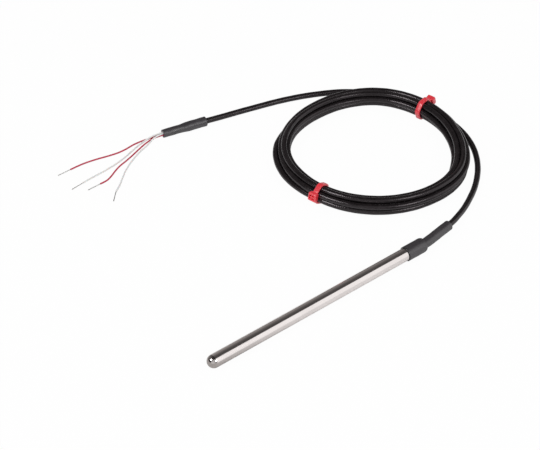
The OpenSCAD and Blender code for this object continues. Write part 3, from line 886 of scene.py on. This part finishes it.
def shrink_finish():
    """Shrunk polyolefin sleeve: charcoal with a soft sheen, faint lengthwise drawing marks, softly
    mottled, and with painted shade, near black, round the rim of its mouth."""
    made, tree, shader = finish("shrink_sleeve", Specular_IOR_Level=0.95)
    grain = noise(tree, place_on(tree), 2200, 4, 0.65)
    drawn = noise(tree, place_on(tree, (0.12, 1, 1)), 700, 2)
    patch = noise(tree, place_on(tree), 160, 3)
    fine, broad = spread(tree, grain, 0.35, 0.75, 0.0, 0.5), spread(tree, patch, 0.3, 0.75, 0.0, 0.5)
    parts = add(tree, "ShaderNodeSeparateXYZ", {"Vector": add(tree, "ShaderNodeTexCoord").outputs["UV"]})
    # Painted shade: the mouth's rim and lip go near black, fading to the full colour 0.4 mm along the sleeve.
    cut = spread(tree, parts.outputs["X"], 0.15, 0.4)
    mottle = math_node(tree, "ADD", math_node(tree, "ADD", fine, broad), 0.25)
    shade = math_node(tree, "MULTIPLY", mottle, cut)
    mouth_shade_black, charcoal, worn = (0.006, 0.006, 0.007), (0.026, 0.0225, 0.026), (0.050, 0.044, 0.050)
    colour = tint(tree, shade, (0.0, mouth_shade_black), (0.3, charcoal), (1.0, worn))
    rough = spread(tree, patch, 0.3, 0.7, 0.38, 0.48)
    coat(tree, shader, colour, rough, math_node(tree, "ADD", grain, drawn), 0.35, 0.00004)
    return made


def nylon_finish():
    """Red moulded nylon, a little see-through at the edges, with a soft gloss and faint flow marks."""
    made, tree, shader = finish(
        "tie_nylon", Specular_IOR_Level=1.0, Coat_Weight=0.5, Coat_Roughness=0.35, Subsurface_Weight=0.25,
        Subsurface_Radius=(1.0, 0.25, 0.2), Subsurface_Scale=0.0006,
    )
    flow = noise(tree, place_on(tree), 420, 3)
    grain = noise(tree, place_on(tree), 3000, 2)
    colour = tint(tree, flow, (0.3, (0.82, 0.028, 0.048)), (0.7, (0.92, 0.048, 0.072)))
    height = math_node(tree, "ADD", math_node(tree, "MULTIPLY", grain, 0.3), flow)
    coat(tree, shader, colour, spread(tree, grain, 0.3, 0.7, 0.24, 0.32), height, 0.15, 0.00002)
    return made


def insulation_finish(name, dark, light, rough):
    """Extruded lead insulation: one colour with a faint mottle and a fine grain."""
    made, tree, shader = finish(
        name, Subsurface_Weight=0.15, Subsurface_Radius=(1.0, 0.5, 0.4), Subsurface_Scale=0.0003,
    )
    mottle = noise(tree, place_on(tree), 900, 3)
    grain = noise(tree, place_on(tree), 5200, 2)
    colour = tint(tree, mottle, (0.3, dark), (0.7, light))
    coat(tree, shader, colour, spread(tree, grain, 0.3, 0.7, rough, rough + 0.12), grain, 0.2, 0.00002)
    return made


def mineral_finish(name, dark, light, rough, scale):
    """Ceramic, powder, resin or woven glass: a grained, mottled solid."""
    made, tree, shader = finish(name)
    grain = noise(tree, place_on(tree), scale, 4, 0.6)
    colour = tint(tree, grain, (0.3, dark), (0.7, light))
    coat(tree, shader, colour, spread(tree, grain, 0.3, 0.7, rough, rough + 0.15), grain, 0.3, 0.00003)
    return made


def tinned_finish():
    """Tinned copper strands: soft silver with duller patches."""
    made, tree, shader = finish("tinned_wire", Metallic=1.0)
    patch = noise(tree, place_on(tree), 2400, 3)
    colour = tint(tree, patch, (0.3, (0.55, 0.54, 0.52)), (0.7, (0.78, 0.77, 0.75)))
    coat(tree, shader, colour, spread(tree, patch, 0.3, 0.7, 0.25, 0.42), patch, 0.2, 0.00001)
    return made


steel = steel_finish()
jacket = cable_finish()
shrink = shrink_finish()
nylon = nylon_finish()
red_insulation = insulation_finish("lead_red", (0.50, 0.024, 0.065), (0.62, 0.036, 0.09), 0.36)
white_insulation = insulation_finish("lead_white", (0.80, 0.79, 0.78), (0.86, 0.855, 0.845), 0.38)
ceramic = mineral_finish("ceramic", (0.78, 0.76, 0.70), (0.88, 0.87, 0.83), 0.45, 1500)
powder = mineral_finish("fill_powder", (0.62, 0.60, 0.55), (0.76, 0.74, 0.69), 0.8, 4000)
glass_braid = mineral_finish("glass_sleeve", (0.66, 0.64, 0.56), (0.82, 0.80, 0.73), 0.6, 2600)
epoxy = mineral_finish("epoxy", (0.030, 0.026, 0.022), (0.055, 0.048, 0.042), 0.35, 700)
tinned = tinned_finish()

# ---- what each piece is made of, rides on and stands for ----

def dress(piece, made, slot_name, *replaced):
    """Gives a new piece its finish, its body and the CAD nodes that it stands for. The slot's name is not
    used.
    """
    piece.data.materials.clear()
    piece.data.materials.append(made)
    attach(piece, "root")
    if replaced:
        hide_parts(*replaced)


dress(sheath, steel, "sheath_steel", "sheath")
dress(cable, jacket, "cable_jacket", "cable_start", "cable_coil", "cable_tail")
dress(strain_relief, shrink, "shrink_sleeve", "strain_relief")
dress(end_sleeve, shrink, "shrink_sleeve", "end_sleeve")
dress(end_fill, epoxy, "epoxy")
for name, pieces in (("tie_upper", upper_tie), ("tie_lower", lower_tie)):
    for piece in pieces:
        dress(piece, nylon, "tie_nylon", name)
for name, (piece, _, _) in leads.items():
    made, colour = (red_insulation, "red") if name.startswith("red") else (white_insulation, "white")
    dress(piece, made, "lead_" + colour, "lead_" + name)
    dress(bare_ends[name], tinned, "tinned_wire", "bare_end_" + name)

HIDDEN = {
    "sensing_element": ceramic, "element_wire_a": tinned, "element_wire_b": tinned, "thermal_fill": powder,
    "splice_a": tinned, "splice_b": tinned, "insulating_sleeve": glass_braid, "seal": epoxy,
    "inner_core_red_a": red_insulation, "inner_core_red_b": red_insulation,
    "inner_core_white_a": white_insulation, "inner_core_white_b": white_insulation,
}
for name, made in HIDDEN.items():
    node = bpy.data.objects[name]
    node.data.materials.clear()
    node.data.materials.append(made)

# ---- floor, world and lamps ----

CEILING_EDGE = math.radians(157)
CEILING_STOPS = ((0.49, 1.0), (0.515, 0.06), (0.76, 0.075), (0.90, 0.15))
CARD_GREYS = ((0.0, 0.6), (0.3, 0.5), (0.5, 0.35), (0.575, 0.18), (0.64, 0.18), (0.69, 1.0))
ROOM_LIGHT = 0.55
WHITE = (1, 1, 1, 1)


def ray_kinds(tree):
    """Whether a ray comes from the camera, and whether it was mirrored or bent."""
    rays = add(tree, "ShaderNodeLightPath").outputs
    mirrored = math_node(tree, "MAXIMUM", rays["Is Glossy Ray"], rays["Is Transmission Ray"])
    return rays["Is Camera Ray"], mirrored


def floor_finish():
    """A dull, pale floor that shows nearly white. Where metal mirrors it, it shines a little of itself,
    but past the sheath's tip it doesn't, and is darker there: painted shade for the sheath's tip to mirror."""
    made, tree, shader = finish("pale_floor", Roughness=0.9, Specular_IOR_Level=0.0)
    from_camera, in_metal = ray_kinds(tree)
    place = add(tree, "ShaderNodeTexCoord").outputs["Object"]
    floor_x = add(tree, "ShaderNodeSeparateXYZ", {"Vector": place}).outputs["X"]
    # Painted shade, seen only in metal: past the sheath's tip the floor turns darker and stops shining.
    tip_reflection_shade = math_node(tree, "MULTIPLY", in_metal, spread(tree, floor_x, -0.05, -0.113))
    pale = tint(tree, tip_reflection_shade, (0.0, (0.88, 0.88, 0.88)), (1.0, (0.44, 0.43, 0.42)))
    tree.links.new(pale, shader.inputs["Base Color"])
    lit = math_node(tree, "MULTIPLY", math_node(tree, "SUBTRACT", in_metal, tip_reflection_shade), 0.12)
    seen = math_node(tree, "ADD", math_node(tree, "MULTIPLY", from_camera, 0.97), lit)
    white = add(tree, "ShaderNodeEmission", {"Color": WHITE, "Strength": 1.0})
    mixed = add(tree, "ShaderNodeMixShader", {0: seen, 1: shader.outputs[0], 2: white.outputs[0]})
    tree.links.new(mixed.outputs[0], tree.nodes["Material Output"].inputs["Surface"])
    return made


def studio():
    """A white room. The camera sees it plain and dull surfaces are lit by it evenly. Mirrors see a dark
    ceiling, which starts above the front softboxes and reaches down behind the object, and a dark card off
    the sheath's tip, square to its length: the ceiling's grey follows the angle to its edge, the card's
    the direction's X."""
    world = bpy.data.worlds.new("studio")
    bpy.context.scene.world = world
    world.use_nodes = True
    tree = world.node_tree
    direction = add(tree, "ShaderNodeTexCoord").outputs["Generated"]
    facing = math.cos(CEILING_EDGE) * np.array([0.0, -1.0, 0.0]) + math.sin(CEILING_EDGE) * UP
    depth = add(tree, "ShaderNodeVectorMath", {0: direction, 1: tuple(facing)}, operation="DOT_PRODUCT")
    ceiling = add(tree, "ShaderNodeValToRGB", {"Fac": spread(tree, depth.outputs["Value"], -1.0, 1.0)})
    stops = ceiling.color_ramp.elements
    stops[0].position, stops[0].color = 0.0, WHITE
    stops[1].position, stops[1].color = 1.0, (0.42, 0.395, 0.385, 1)
    for at, grey in CEILING_STOPS:
        stops.new(at).color = (grey, grey * 0.94, grey * 0.92, 1) if grey < 1 else WHITE
    off_tip = add(tree, "ShaderNodeSeparateXYZ", {"Vector": direction}).outputs["X"]
    card = tint(tree, spread(tree, off_tip, -1.0, 1.0), *[(at, (grey,) * 3) for at, grey in CARD_GREYS])
    both = {0: 1.0, 6: ceiling.outputs["Color"], 7: card}
    round_about = add(tree, "ShaderNodeMix", both, data_type="RGBA", blend_type="MULTIPLY")
    from_camera, in_metal = ray_kinds(tree)
    mirrored = add(tree, "ShaderNodeBackground", {"Color": round_about.outputs[2], "Strength": 1.0})
    plain = add(tree, "ShaderNodeBackground", {"Color": WHITE, "Strength": ROOM_LIGHT})
    whole = add(tree, "ShaderNodeBackground", {"Color": WHITE, "Strength": 1.0})
    first = add(tree, "ShaderNodeMixShader", {0: in_metal, 1: plain.outputs[0], 2: mirrored.outputs[0]})
    last = add(tree, "ShaderNodeMixShader", {0: from_camera, 1: first.outputs[0], 2: whole.outputs[0]})
    output = add(tree, "ShaderNodeOutputWorld", {"Surface": last.outputs[0]})
    for extra in [n for n in tree.nodes if n.type == "OUTPUT_WORLD" and n != output]:
        tree.nodes.remove(extra)


def softbox(name, side, toward, height, size, power):
    """A square lamp aimed at the middle of the object, from a place given to the right of the camera's
    view, towards the camera, and up."""
    right = Vector((math.cos(azimuth), math.sin(azimuth), 0))
    near = Vector((math.sin(azimuth), -math.cos(azimuth), 0))
    where = right * side + near * toward + Vector((0, 0, height))
    lamp = bpy.data.lights.new(name, "AREA")
    lamp.shape, lamp.size, lamp.energy = "SQUARE", size, power
    made = bpy.data.objects.new(name, lamp)
    made.location = Vector((-10 * MM, 60 * MM, FLOOR * MM)) + where
    made.rotation_euler = (-where).to_track_quat("-Z", "Y").to_euler()
    bpy.context.collection.objects.link(made)


bpy.ops.mesh.primitive_plane_add(size=8, location=(0, 0, FLOOR * MM))
floor = bpy.context.object
floor.name = "floor"
floor.data.materials.append(floor_finish())
studio()
softbox("softbox_left", -0.8, 0.5, 0.9, 0.42, 5.0)
softbox("softbox_right", 0.7, 0.7, 0.7, 0.42, 3.0)

bpy.context.scene.view_settings.view_transform = "Standard"
